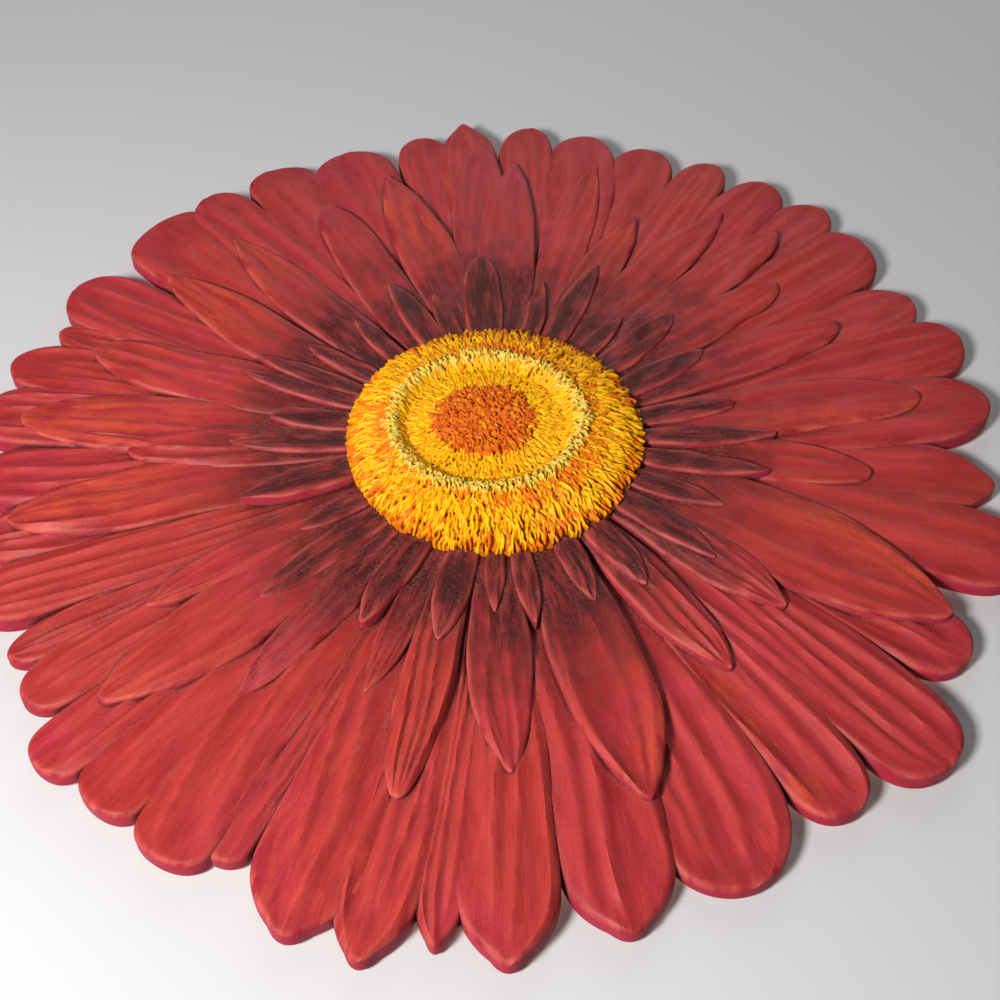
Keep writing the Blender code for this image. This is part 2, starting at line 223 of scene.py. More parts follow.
def corners(mesh: Mesh) -> np.ndarray:
    """Vertex positions of a mesh as an array of three columns."""
    data = np.empty(len(mesh.vertices) * 3, np.float32)
    mesh.vertices.foreach_get("co", data)
    return data.reshape(-1, 3).astype(float)


def put_corners(mesh: Mesh, points: np.ndarray) -> None:
    """Writes vertex positions back to a mesh."""
    mesh.vertices.foreach_set("co", points.astype(np.float32).ravel())
    mesh.update()


def loop_vertices(mesh: Mesh) -> np.ndarray:
    """The vertex index of every face corner of a mesh."""
    data = np.empty(len(mesh.loops), np.int32)
    mesh.loops.foreach_get("vertex_index", data)
    return data


def put_corner_colour(mesh: Mesh, name: str, per_vertex: np.ndarray) -> None:
    """Stores four numbers of each vertex on its face corners.

    Args:
        mesh: the mesh that gets the attribute.
        name: the attribute's name.
        per_vertex: one row of four numbers for each vertex.
    """
    layer = mesh.attributes.new(name, "FLOAT_COLOR", "CORNER")
    layer.data.foreach_set("color", per_vertex[loop_vertices(mesh)].astype(np.float32).ravel())


def put_uv(mesh: Mesh, name: str, per_vertex: np.ndarray) -> None:
    """Replaces a mesh's UV maps with one that is worked out from its vertices.

    Args:
        mesh: the mesh that gets the map.
        name: the map's name.
        per_vertex: one row of u and v for each vertex.
    """
    while mesh.uv_layers:
        mesh.uv_layers.remove(mesh.uv_layers[0])
    layer = mesh.uv_layers.new(name=name)
    layer.data.foreach_set("uv", per_vertex[loop_vertices(mesh)].astype(np.float32).ravel())


def new_part(name: str, mesh: Mesh) -> Object:
    """Puts a mesh into the scene as an object of that name."""
    obj = bpy.data.objects.new(name, mesh)
    bpy.context.scene.collection.objects.link(obj)
    return obj


def carve(obj: Object, tools: list[Object], operation: str) -> None:
    """Unites an object with others, or cuts it with them, and removes them.

    Args:
        obj: the object that is changed.
        tools: closed solids that don't cross themselves.
        operation: UNION or DIFFERENCE.
    """
    bench = bpy.data.collections.new("bench")
    for tool in tools:
        bench.objects.link(tool)
    pick(obj)
    boolean = obj.modifiers.new("carve", "BOOLEAN")
    boolean.operation = operation
    boolean.solver = "MANIFOLD"
    boolean.operand_type = "COLLECTION"
    boolean.collection = bench
    bpy.ops.object.modifier_apply(modifier=boolean.name)
    for tool in tools:
        bpy.data.objects.remove(tool)
    bpy.data.collections.remove(bench)


def close_below(obj: Object, depth: float) -> None:
    """Extrudes the edge of an open sheet straight down and closes it with one face.

    Args:
        obj: the sheet.
        depth: how far down its floor lies.
    """
    pick(obj)
    bpy.ops.object.mode_set(mode="EDIT")
    bpy.ops.mesh.select_all(action="SELECT")
    bpy.ops.mesh.region_to_loop()
    bpy.ops.mesh.extrude_edges_move(TRANSFORM_OT_translate={"value": (0, 0, -depth)})
    bpy.ops.mesh.edge_face_add()
    bpy.ops.object.mode_set(mode="OBJECT")
    face_outwards(obj)


def face_outwards(obj: Object) -> None:
    """Turns every face of a closed mesh outwards."""
    pick(obj)
    bpy.ops.object.mode_set(mode="EDIT")
    bpy.ops.mesh.select_all(action="SELECT")
    bpy.ops.mesh.normals_make_consistent(inside=False)
    bpy.ops.object.mode_set(mode="OBJECT")


def smooth_shade(obj: Object, angle: float) -> None:
    """Shades an object smooth, apart from edges sharper than an angle in degrees."""
    pick(obj)
    bpy.ops.object.shade_smooth_by_angle(angle=math.radians(angle))


def add_node(tree: NodeTree, kind: str, settings: dict, links: dict) -> Node:
    """Adds a node, with its settings and what feeds it.

    Args:
        tree: the node tree.
        kind: the node's type name.
        settings: properties by name, and unlinked inputs as ("in", name or index).
        links: the output socket that feeds each input, by input name or index.

    Returns:
        The new node.
    """
    node = tree.nodes.new(kind)
    for key, value in settings.items():
        if isinstance(key, tuple):
            node.inputs[key[1]].default_value = value
        else:
            setattr(node, key, value)
    for key, source in links.items():
        tree.links.new(source, node.inputs[key])
    return node


def new_material(name: str) -> tuple[Material, NodeTree, Node]:
    """Makes a node material.

    Args:
        name: the material's name.

    Returns:
        The material, its node tree and its Principled shader.
    """
    material = bpy.data.materials.new(name)
    material.use_nodes = True
    tree = material.node_tree
    return material, tree, tree.nodes["Principled BSDF"]


class Ease(Enum):
    """How a ramp climbs."""

    STRAIGHT = "LINEAR"
    SOFT = "SMOOTHSTEP"


@dataclass(frozen=True)
class Ramp:
    """How a pattern turns into cover.

    Attributes:
        pattern: its name.
        low: where there is none.
        high: where there is most.
        top: how much that is.
        ease: how it climbs between the two.
    """

    pattern: str
    low: float = 0.0
    high: float = 1.0
    top: float = 1.0
    ease: Ease = Ease.SOFT


class Coat:
    """One thin coat of paint, which covers by the product of its ramps."""

    def __init__(self, colour: Enum, *cover: Ramp, streaks: tuple["Coat", ...] = ()) -> None:
        """Keeps what the coat is.

        Args:
            colour: an sRGB hex colour of a palette.
            cover: how much it covers.
            streaks: coats that are mixed into its own colour first.
        """
        self.colour = colour
        self.cover = cover
        self.streaks = streaks


@dataclass(frozen=True)
class Grain:
    """A noise pattern.

    Attributes:
        name: what ramps call it.
        size: of its patches, metres; two sizes are across and along a petal's brush strokes.
        detail: how many finer noises it carries.
        relief: height of the bumps that it gives, metres.
    """

    name: str
    size: tuple[float, ...]
    detail: float
    relief: float = 0.0


@dataclass(frozen=True)
class Total:
    """A pattern that adds up others, each times a weight, from a start."""

    name: str
    weights: tuple[tuple[str, float], ...]
    start: float = 0.0


@dataclass(frozen=True)
class Finish:
    """A material painted in thin coats, each of which covers where patterns say.

    Attributes:
        name: what the real finish is and how it was made.
        base: the colour under every coat.
        grains: its noise patterns.
        coats: laid over the base in this order.
        roughness: one for the whole surface, or the least and most by the pattern clouds.
        specular: how strongly it mirrors; the IOR stays a paint's.
        marks: colour attributes with the names of the patterns in their channels.
        totals: patterns that add up others.
        hollow_reach: how near a surface makes the pattern hollow fall below 1; 0 for no such pattern.
        by_facing: whether there is a pattern facing, 1 on the front and back and 0 on walls.
        by_reach: whether there is a pattern reach, metres from the plaque's centre.
        cloud_span: of the pattern clouds, from the least roughness to the most.
    """

    name: str
    base: Enum
    grains: tuple[Grain, ...]
    coats: tuple[Coat, ...]
    roughness: tuple[float, ...]
    specular: float = 0.5
    marks: tuple[tuple[str, tuple[str, ...]], ...] = ()
    totals: tuple[Total, ...] = ()
    hollow_reach: float = 0.0
    by_facing: bool = False
    by_reach: bool = False
    cloud_span: tuple[float, float] = (0.3, 0.7)

    def noises(self, tree: NodeTree, place: NodeSocket) -> Sockets:
        """Adds the noise patterns.

        Args:
            tree: the material's nodes.
            place: the object's own coordinates.

        Returns:
            Sockets by pattern name.
        """
        patterns = {}
        for grain in self.grains:
            vector, scale = place, 1 / grain.size[0]
            if len(grain.size) > 1:
                brushed = add_node(tree, "ShaderNodeUVMap", {"uv_map": "grain"}, {}).outputs[0]
                stretch = {("in", "Scale"): (1 / grain.size[0], 1 / grain.size[1], 1.0)}
                vector = add_node(tree, "ShaderNodeMapping", stretch, {"Vector": brushed}).outputs[0]
                scale = 1.0
            patterns[grain.name] = add_node(
                tree, "ShaderNodeTexNoise", {("in", "Scale"): scale, ("in", "Detail"): grain.detail},
                {"Vector": vector},
            ).outputs[0]
        return patterns

    def patterns(self, tree: NodeTree) -> Sockets:
        """Adds every pattern that the coats' ramps name.

        Args:
            tree: the material's nodes.

        Returns:
            Sockets by pattern name.
        """
        place = add_node(tree, "ShaderNodeTexCoord", {}, {}).outputs
        patterns = self.noises(tree, place["Object"])
        for attribute, names in self.marks:
            mark = add_node(tree, "ShaderNodeAttribute", {"attribute_name": attribute}, {}).outputs
            channels = add_node(tree, "ShaderNodeSeparateColor", {}, {0: mark["Color"]}).outputs
            patterns.update(zip(names, (*channels, mark["Alpha"])))
        if self.hollow_reach:
            # hollow falls where nearby surfaces hide a spot; coats use it for painted shade in grooves and
            # gaps, and for dust
            near = {"samples": 6, ("in", "Distance"): self.hollow_reach}
            patterns["hollow"] = add_node(tree, "ShaderNodeAmbientOcclusion", near, {}).outputs["AO"]
        if self.by_facing:
            forward = add_node(tree, "ShaderNodeSeparateXYZ", {}, {0: place["Normal"]}).outputs[1]
            absolute = add_node(tree, "ShaderNodeMath", {"operation": "ABSOLUTE"}, {0: forward})
            patterns["facing"] = absolute.outputs[0]
        if self.by_reach:
            length = add_node(tree, "ShaderNodeVectorMath", {"operation": "LENGTH"}, {0: place["Object"]})
            patterns["reach"] = length.outputs["Value"]
        for total in self.totals:
            running = None
            for name, weight in total.weights:
                settings = {"operation": "MULTIPLY_ADD", ("in", 1): weight, ("in", 2): total.start}
                links = {0: patterns[name]}
                if running is not None:
                    links[2] = running
                running = add_node(tree, "ShaderNodeMath", settings, links).outputs[0]
            patterns[total.name] = running
        return patterns

    def painted(
        self, tree: NodeTree, patterns: Sockets, base: Enum, coats: tuple[Coat, ...],
    ) -> NodeSocket:
        """Lays coats over a colour.

        Args:
            tree: the material's nodes.
            patterns: sockets by pattern name.
            base: the colour under them.
            coats: the coats, the lowest first.

        Returns:
            The colour that shows.
        """
        colour = None
        for coat in coats:
            cover = None
            for ramp in coat.cover:
                span = {("in", 1): ramp.low, ("in", 2): ramp.high, ("in", 4): ramp.top}
                climb = add_node(
                    tree, "ShaderNodeMapRange", {"interpolation_type": ramp.ease.value, **span},
                    {0: patterns[ramp.pattern]},
                ).outputs[0]
                if cover is not None:
                    product = {0: cover, 1: climb}
                    climb = add_node(tree, "ShaderNodeMath", {"operation": "MULTIPLY"}, product).outputs[0]
                cover = climb
            settings = {
                "data_type": "RGBA", ("in", 6): linear(base.value), ("in", 7): linear(coat.colour.value),
            }
            links = {0: cover}
            if colour is not None:
                links[6] = colour
            if coat.streaks:
                links[7] = self.painted(tree, patterns, coat.colour, coat.streaks)
            colour = add_node(tree, "ShaderNodeMix", settings, links).outputs[2]
        return colour

    def material(self) -> Material:
        """Builds the finish.

        Returns:
            The material.
        """
        material, tree, shader = new_material(self.name)
        patterns = self.patterns(tree)
        tree.links.new(self.painted(tree, patterns, self.base, self.coats), shader.inputs["Base Color"])
        shader.inputs["Specular IOR Level"].default_value = self.specular
        shader.inputs["Roughness"].default_value = self.roughness[0]
        if len(self.roughness) > 1:
            low, high = self.cloud_span
            least, most = self.roughness
            span = {("in", 1): low, ("in", 2): high, ("in", 3): least, ("in", 4): most}
            uneven = add_node(tree, "ShaderNodeMapRange", span, {0: patterns["clouds"]}).outputs[0]
            tree.links.new(uneven, shader.inputs["Roughness"])
        links = {}
        for grain in self.grains:
            if grain.relief:
                settings = {("in", "Distance"): grain.relief, ("in", "Strength"): 1.0}
                links["Height"] = patterns[grain.name]
                links["Normal"] = add_node(tree, "ShaderNodeBump", settings, links).outputs[0]
        tree.links.new(links["Normal"], shader.inputs["Normal"])
        return material


class Red(Enum):
    """Acrylics on the petals, with the colours of their painted shade and painted highlights."""

    DEEP = "#9A2424"
    CRIMSON = "#B03030"
    CORAL = "#C8463F"
    ROSE = "#B02A40"
    SCARLET = "#C04126"
    BLOOD = "#84191C"
    ORANGE = "#C84C22"
    MAUVE = "#8C3444"
    PINK = "#C23F52"
    MAROON = "#360C0B"
    DUSK = "#7E2422"
    DUST = "#93685A"
    OUTLINE = "#B03236"
    # painted shade colour for the grooves, laid over a brown wash
    GROOVE_SHADE_AND_WASH = "#4E1614"
    # pale coral for the edges: dry brushing, partly a painted highlight on the rounded edges
    DRY_BRUSH_AND_HIGHLIGHT = "#DC7060"
    WALL = "#A3213A"


class Clay(Enum):
    """Bisque on the back, and the red that runs over its rim."""

    PALE = "#C7A88E"
    SHADE = "#A98468"
    OVERRUN = "#8E2B33"


class Gold(Enum):
    """Acrylics on the florets, and the colours of the painted shade between them."""

    YELLOW = "#EAA400"
    BRIGHT = "#F9C012"
    # painted shade colour: down each floret's sides
    AMBER_SHADE = "#BE6400"
    PALE = "#DCC85A"
    ORANGE = "#E2700C"
    HEART = "#D2540F"
    # these three are painted shade: down the heart florets' sides, in the gaps, and in the deepest pits
    EMBER = "#A8380C"
    GAP_SHADE = "#8A3606"
    PIT_SHADE = "#4A2206"


def petal_paint() -> Finish:
    """Satin acrylic brushed lengthways over ceramic: streaked reds, and painted shade over a dark wash in
    the hollows.

    The eye gets thin streaks along each petal, a maroon scorch round the disc that breaks up
    into streaks, painted shade that darkens every groove over a brown wash, flutes painted darker
    and ridges paler as painted shade and highlight, and paler dry-brushed paint over the edges,
    partly a painted highlight.

    Returns:
        The finish.
    """
    burnt = Ramp("scorched", 0.10, 1.05, 0.94)
    edge = Ramp("edge", ease=Ease.STRAIGHT)
    return Finish(
        name="satin_acrylic_brushed_on_ceramic", base=Red.DEEP,
        grains=(
            Grain("fine", (0.42 * MM, 6 * MM), 3.0, 0.025 * MM),
            Grain("broad", (2.6 * MM, 12 * MM), 3.0, 0.05 * MM),
            Grain("clouds", (11 * MM,), 4.0),
            Grain("regions", (32 * MM,), 2.0),
            Grain("pits", (0.6 * MM,), 3.0, 0.09 * MM),
        ),
        marks=(("paint", ("orange", "scorch", "vein", "edge")), ("tint", ("mauve", "pink", "tone"))),
        totals=(
            Total("streaked", (("broad", 0.7), ("fine", 0.3))),
            Total("patchy", (("streaked", 2.4), ("clouds", 1.0))),
            Total("scorched", (("patchy", 1.3), ("scorch", 1.0)), -2.21),
        ),
        coats=(
            Coat(Red.CRIMSON, Ramp("clouds", 0.36, 0.62, 0.80)),
            Coat(Red.ROSE, Ramp("tone", 0.45, 1.00, 0.30)),
            Coat(Red.SCARLET, Ramp("tone", 0.45, 0.00, 0.16)),
            Coat(Red.ROSE, Ramp("regions", 0.48, 0.64, 0.50)),
            Coat(Red.CORAL, Ramp("broad", 0.46, 0.70, 0.26)),
            Coat(Red.BLOOD, Ramp("broad", 0.50, 0.32, 0.40)),
            Coat(Red.BLOOD, Ramp("fine", 0.49, 0.37, 0.26)),
            Coat(Red.CORAL, Ramp("fine", 0.53, 0.65, 0.22)),
            # painted shade: darker red in the flutes between the ridges
            Coat(Red.BLOOD, Ramp("vein", 1, 0, ease=Ease.STRAIGHT), Ramp("clouds", 0.30, 0.60, 0.42)),
            # painted highlight: paler coral along the ridge tops
            Coat(Red.CORAL, Ramp("vein", top=0.40, ease=Ease.STRAIGHT)),
            Coat(Red.ORANGE, Ramp("orange", ease=Ease.STRAIGHT), Ramp("patchy", 1.50, 2.05, 0.55)),
            Coat(Red.MAUVE, Ramp("mauve", ease=Ease.STRAIGHT), Ramp("patchy", 1.40, 2.00, 0.50)),
            Coat(Red.PINK, Ramp("pink", ease=Ease.STRAIGHT), Ramp("patchy", 1.30, 1.90, 0.75)),
            Coat(Red.BLOOD, Ramp("pits", 0.50, 0.68, 0.34), Ramp("clouds", 0.35, 0.60)),
            Coat(Red.MAROON, burnt, streaks=(Coat(Red.DUSK, Ramp("streaked", 0.46, 0.62, 0.95)),)),
            Coat(Red.DUST, burnt, Ramp("pits", 0.50, 0.70, 0.14)),
            Coat(Red.OUTLINE, burnt, Ramp("edge", top=0.75, ease=Ease.STRAIGHT)),
            # paler paint at every petal edge: dry brushing, partly a painted highlight where the rounded
            # edges catch light
            Coat(Red.DRY_BRUSH_AND_HIGHLIGHT, edge, Ramp("broad", 0.34, 0.60, 0.55)),
            Coat(Red.WALL, Ramp("facing", 0.55, 0.15, 0.85)),
            Coat(Red.DUST, Ramp("hollow", 0.96, 0.70, 0.55), Ramp("pits", 0.40, 0.62, 0.80)),
            # painted shade: dark brown where nearby petals hide a spot, in the grooves and under overlaps,
            # over a real wash
            Coat(Red.GROOVE_SHADE_AND_WASH, Ramp("hollow", 0.78, 0.34, 0.90)),
        ),
        roughness=(0.46, 0.64), specular=0.24, hollow_reach=2.2 * MM, by_facing=True,
    )


def bare_clay() -> Finish:
    """Unpainted bisque on the back: pale, chalky and finely grained, with red carried over the rim.

    The red starts about 118 mm out and covers from 140 mm, and its edge strays 15 mm either way.

    Returns:
        The finish.
    """
    return Finish(
        name="bare_bisque_clay", base=Clay.SHADE,
        grains=(Grain("grain", (0.7 * MM,), 4.0, 0.05 * MM), Grain("cloud", (30 * MM,), 4.0)),
        totals=(Total("ragged", (("cloud", 30 * MM), ("reach", 1.0))),),
        coats=(
            Coat(Clay.PALE, Ramp("cloud", ease=Ease.STRAIGHT)),
            Coat(Clay.OVERRUN, Ramp("ragged", (118 + 15) * MM, (140 + 15) * MM, 0.85)),
        ),
        roughness=(0.86,), by_reach=True,
    )


def floret_paint() -> Finish:
    """Thick satin acrylic on the florets: yellow, pale and orange, with painted shade down each floret's
    sides and in the gaps.

    Returns:
        The finish.
    """
    return Finish(
        name="satin_acrylic_on_florets", base=Gold.YELLOW,
        grains=(Grain("speck", (0.35 * MM,), 3.0, 0.05 * MM), Grain("cloud", (4 * MM,), 3.0)),
        marks=(("floret", ("orange", "pale", "heart", "chance")), ("tuft", ("crown",))),
        coats=(
            Coat(Gold.BRIGHT, Ramp("chance", 0.30, 1.00, 0.85)),
            Coat(Gold.PALE, Ramp("pale", 0.20, 0.80)),
            Coat(Gold.ORANGE, Ramp("orange", 0.20, 0.80)),
            Coat(Gold.HEART, Ramp("heart", 0.20, 0.80, 0.90)),
            Coat(Gold.ORANGE, Ramp("cloud", 0.62, 0.74, 0.50)),
            # painted shade: darker amber down each floret's sides, where it dips between its neighbours
            Coat(Gold.AMBER_SHADE, Ramp("crown", 0.66, 0.12, 0.85)),
            # painted shade: burnt orange down the sides of the heart's florets
            Coat(Gold.EMBER, Ramp("crown", 0.70, 0.10, 0.85), Ramp("heart", ease=Ease.STRAIGHT)),
            # painted shade: darker in the gaps and darkest in the deepest pits, where nearby florets hide
            # the spot
            Coat(Gold.GAP_SHADE, Ramp("hollow", 0.66, 0.22, 0.75)),
            Coat(Gold.PIT_SHADE, Ramp("hollow", 0.22, 0.03, 0.60)),
        ),
        roughness=(0.48,), specular=0.16, hollow_reach=1.0 * MM,
    )


@dataclass(frozen=True)
class Manner:
    """How one petal was modelled by hand.

    Attributes:
        veins: one row for each ridge: its place across, -1 to 1, strength, width over the ridges'
            spacing, the shares of the length where it starts and ends, and the turn of its sway.
        spacing: between the main ridges, over half the petal's width.
        phases: random turns of its waves.
        depth: vein depth over the ring's.
        tilt: how far it leans to its right, over the ring's dish.
        scorch: how far the dark wash reaches over the ring's.
        strong: ranges of the main ridges' strength, width, start, end and turn.
        faint: ranges of the faint ridges' place, strength, width, start, end and turn.
    """

    strong: ClassVar = ((0.60, 1.0), (0.50, 0.75), (0.00, 0.35), (0.92, 1.10), (0, 1))
    faint: ClassVar = (
        (-0.8, 0.8), (0.20, 0.45), (0.16, 0.30), (0.20, 0.65), (0.75, 0.97), (0, 1),
    )
    veins: np.ndarray
    spacing: float
    phases: np.ndarray
    depth: float
    tilt: float
    scorch: float


# Windows in which a petal's forms come or go: shares of its length, or -1 to 1 across it
BOWL_LEFT, BOWL_RIGHT = (-0.74, -0.42), (0.30, 0.95)
BOWL_START, BOWL_END = (0.25, 0.80), (0.92, 0.985)
LEAN_START = (0.20, 0.70)
SKEW_START = (0.70, 1.00)
DROOP_START = (0.80, 1.00)
VEINS_START, VEINS_END, VEINS_SIDE = (0.05, 0.30), (0.90, 1.00), (0.80, 1.00)
ORANGE_SIDE, ORANGE_START = (-0.10, 0.75), (0.25, 0.60)
MAUVE_START = (0.20, 0.50)
# Waves along the right and the left outline of a petal: slow and fast ones in its length
OUTLINE_WAVES = ((1.3, 3.1), (1.2, 2.9))
# Past these a point lies on a petal's side wall or on its tip
SIDE_WALL, TIP_WALL = 0.999, 0.9999


@dataclass
class PetalRing:
    """A ring of overlapping petals; heights are above the back, in metres.

    Attributes:
        name: the piece's name.
        petals: the petals, clockwise.
        seed: of its random numbers.
        root_height: of the ridge at the root.
        rim_height: of the ridge at the plaque's radius.
        lift_height: how far a petal of lift 1 stands over one of 0.
        edge_drop: how far a petal's edges roll down.
        widest_at: share of the length from the root.
        root_share: width at the root over the full width.
        tip_offset: the ring of tips stands this far above the disc's centre.
        floor: height of the petals' undersides.
        floor_step: what each petal's underside lies above the last.
        across: faces across a petal.
        along: faces along a petal.
        clear_from: share of the length from which a petal shows.
        edge_round: radius of its rounded edge.
        vein_depth: of the flutes between ridges.
        vein_count: least and most ridges.
        dish: how far the middle of a petal of dish 1 sinks.
        tip_drop: how far the tips droop.
        tip_soft: how much of the closing curve is rounded off at the very tip.
        scorch_reach: where the dark wash fades, as a share of the plaque's radius.
        tip_skew: how far tips stray to one side, over the petal's width.
        deep_bearing: of the petals with the deepest flutes, degrees.
        calm_share: how much shallower the flutes are a quarter turn away from there, a share.
        flush: undersides nearer the back than this are bare clay.
        veined: width that the main ridges share, over half the petal's width.
        sway: of a ridge, over the ridges' spacing.
        waver: of the outline, over half the petal's width.
        lumps: height of the uneven modelling.
        edge_reach: how far in from its edges the paler edge paint reaches, which is dry brushing and partly
            a painted highlight on the rounded edges; the red outline in the scorched zone uses the same
            reach.
        scorch_fade: how far the dark wash takes to fade, as a share of the plaque's radius.
        grain_step: what sets one petal's brush strokes apart from the next one's, metres.
    """

    name: str
    petals: tuple[Petal, ...]
    seed: int
    root_height: float
    rim_height: float
    lift_height: float
    edge_drop: float
    widest_at: float
    root_share: float
    tip_offset: float
    floor: float
    floor_step: float
    across: int
    along: int
    clear_from: float
    edge_round: float
    vein_depth: float
    vein_count: tuple[int, int]
    dish: float
    tip_drop: float
    scorch_reach: float
    tip_soft: float = 0.10
    tip_skew: float = 0.16
    deep_bearing: float = 205.0
    calm_share: float = 0.38
    flush: float = 0.0003
    veined: float = 1.7
    sway: float = 0.34
    waver: float = 0.034
    lumps: float = 0.00008
    edge_reach: float = 0.0006
    scorch_fade: float = 0.26
    grain_step: float = 0.05

    def manner(self, draw: np.random.Generator) -> Manner:
        """Draws how one petal is modelled.

        Args:
            draw: the ring's random numbers.

        Returns:
            The petal's manner.
        """
        count = int(draw.integers(self.vein_count[0], self.vein_count[1] + 1))
        spacing = self.veined / count
        stray = draw.uniform(-0.26, 0.26, count) * spacing
        places = -self.veined / 2 + spacing * (np.arange(count) + 0.5) + stray
        strong = [places, *(draw.uniform(low, high, count) for low, high in Manner.strong)]
        faint = [draw.uniform(low, high, count) for low, high in Manner.faint]
        return Manner(
            veins=np.concatenate([np.stack(strong, axis=1), np.stack(faint, axis=1)]), spacing=spacing,
            phases=draw.uniform(0, 1, 9), depth=draw.uniform(0.75, 1.25), tilt=draw.uniform(-0.5, 0.3),
            scorch=draw.uniform(0.9, 1.1),
        )

    def blank(self) -> Object:
        """Models a flat blank: side -1 to 1, share -1 to 1 along, and a floor one unit below.

        Returns:
            The blank.
        """
        deselect_all()
        bpy.ops.mesh.primitive_grid_add(x_subdivisions=self.across, y_subdivisions=self.along, size=2)
        blank = bpy.context.active_object
        close_below(blank, 1.0)
        return blank

    def shares(self, even: np.ndarray) -> np.ndarray:
        """Spreads even rows along a petal: few where it is covered, many at its tip.

        Args:
            even: 0 to 1 along the blank.

        Returns:
            Shares of the petal's length.
        """
        covered = 0.12
        closing = 0.75 - 0.6 * (1 - self.widest_at)
        tip = np.clip((even - closing) / (1 - closing), 0, 1)
        return np.where(
            even < closing,
            np.interp(even, (0, covered, closing), (0, self.clear_from, self.widest_at)),
            self.widest_at + (1 - self.widest_at) * np.sin(math.pi / 2 * tip),
        )

    def half_width(self, petal: Petal, share: np.ndarray) -> np.ndarray:
        """Half a petal's width at shares of its length from the root, as in the solid."""
        full = petal.width * PLAQUE_RADIUS / 2
        swell = np.sin(math.pi / 2 * np.minimum(share / self.widest_at, 1))
        closing, roundness = petal.tip.value
        beyond = np.clip((share - self.widest_at) / (1 - self.widest_at), 0, 1)
        body = self.root_share + (1 - self.root_share) * swell
        left = np.maximum(1 - beyond ** closing, 0.002)
        soft = self.tip_soft * closing
        rounded = soft ** roundness * np.sqrt(left / soft)
        return full * body * np.where(left < soft, rounded, left ** roundness)

    def middle_line(self, petal: Petal, share: np.ndarray) -> tuple[np.ndarray, np.ndarray, float]:
        """The line along a petal in the front view, as in the solid.

        Args:
            petal: the petal.
            share: shares of its length.

        Returns:
            Points, directions and the straight length.
        """
        root = plan(petal.bearing + petal.lean, ROOT_RADIUS)
        tip = plan(petal.bearing, petal.reach * PLAQUE_RADIUS) + (0, self.tip_offset)
        length = float(np.hypot(*(tip - root)))
        bend = root + plan(petal.bearing + petal.lean, 1.0) * length / 2
        t = share[:, None]
        points = root * (1 - t) ** 2 + bend * 2 * t * (1 - t) + tip * t ** 2
        ways = (bend - root) * (1 - t) + (tip - bend) * t
        return points, ways / np.linalg.norm(ways, axis=1, keepdims=True), length

    def veining(self, manner: Manner, side: np.ndarray, share: np.ndarray) -> np.ndarray:
        """Rounded ridges that run along a petal and sway a little, 0 in the flutes to 1 on top."""
        ridges = np.zeros_like(side)
        for place, strength, width, start, end, turn in manner.veins:
            sway = self.sway * manner.spacing * np.sin(TURN * (0.9 * share + turn))
            away = np.minimum(np.abs(side - place - sway) / (width * manner.spacing), 1)
            here = smooth_step(start, start + 0.2, share) * (1 - smooth_step(end - 0.15, end, share))
            fold = strength * here * (1 - away) ** 1.5
            ridges = np.maximum(ridges, fold) + 0.35 * np.minimum(ridges, fold)
        fade = smooth_step(*VEINS_START, share) * (1 - 0.85 * smooth_step(*VEINS_END, share))
        return np.clip(ridges, 0, 1.1) * fade * (1 - smooth_step(*VEINS_SIDE, np.abs(side)))

    def shape(self, mesh: Mesh, petal: Petal, manner: Manner, index: int) -> None:
        """Shapes a copy of the blank into one petal and stores where its colours go.

        Args:
            mesh: the copy.
            petal: the petal.
            manner: how it is modelled.
            index: its place in the ring.
        """
        flat = corners(mesh)
        side = 0.55 * flat[:, 0] + 0.45 * np.sin(math.pi / 2 * flat[:, 0])
        share = self.shares((flat[:, 1] + 1) / 2)
        below = flat[:, 2] < -0.5
        points, ways, length = self.middle_line(petal, share)
        right = np.stack([ways[:, 1], -ways[:, 0]], axis=1)
        half = self.half_width(petal, share)
        step = 0.002
        gain = self.half_width(petal, share + step) - self.half_width(petal, share - step)
        slope = gain / (2 * step * length)
        phases = manner.phases
        waver = np.where(side > 0, *(
            np.sin(TURN * (slow * share + phases[i])) + 0.5 * np.sin(TURN * (fast * share + phases[i + 1]))
            for i, (slow, fast) in zip((0, 2), OUTLINE_WAVES)
        ))
        reach = side * half * (1 + self.waver * waver * np.abs(side))
        skew = self.tip_skew * (phases[6] - 0.5) * petal.width * PLAQUE_RADIUS
        skew = skew * smooth_step(*SKEW_START, share)
        place = points + right * (reach + skew)[:, None]

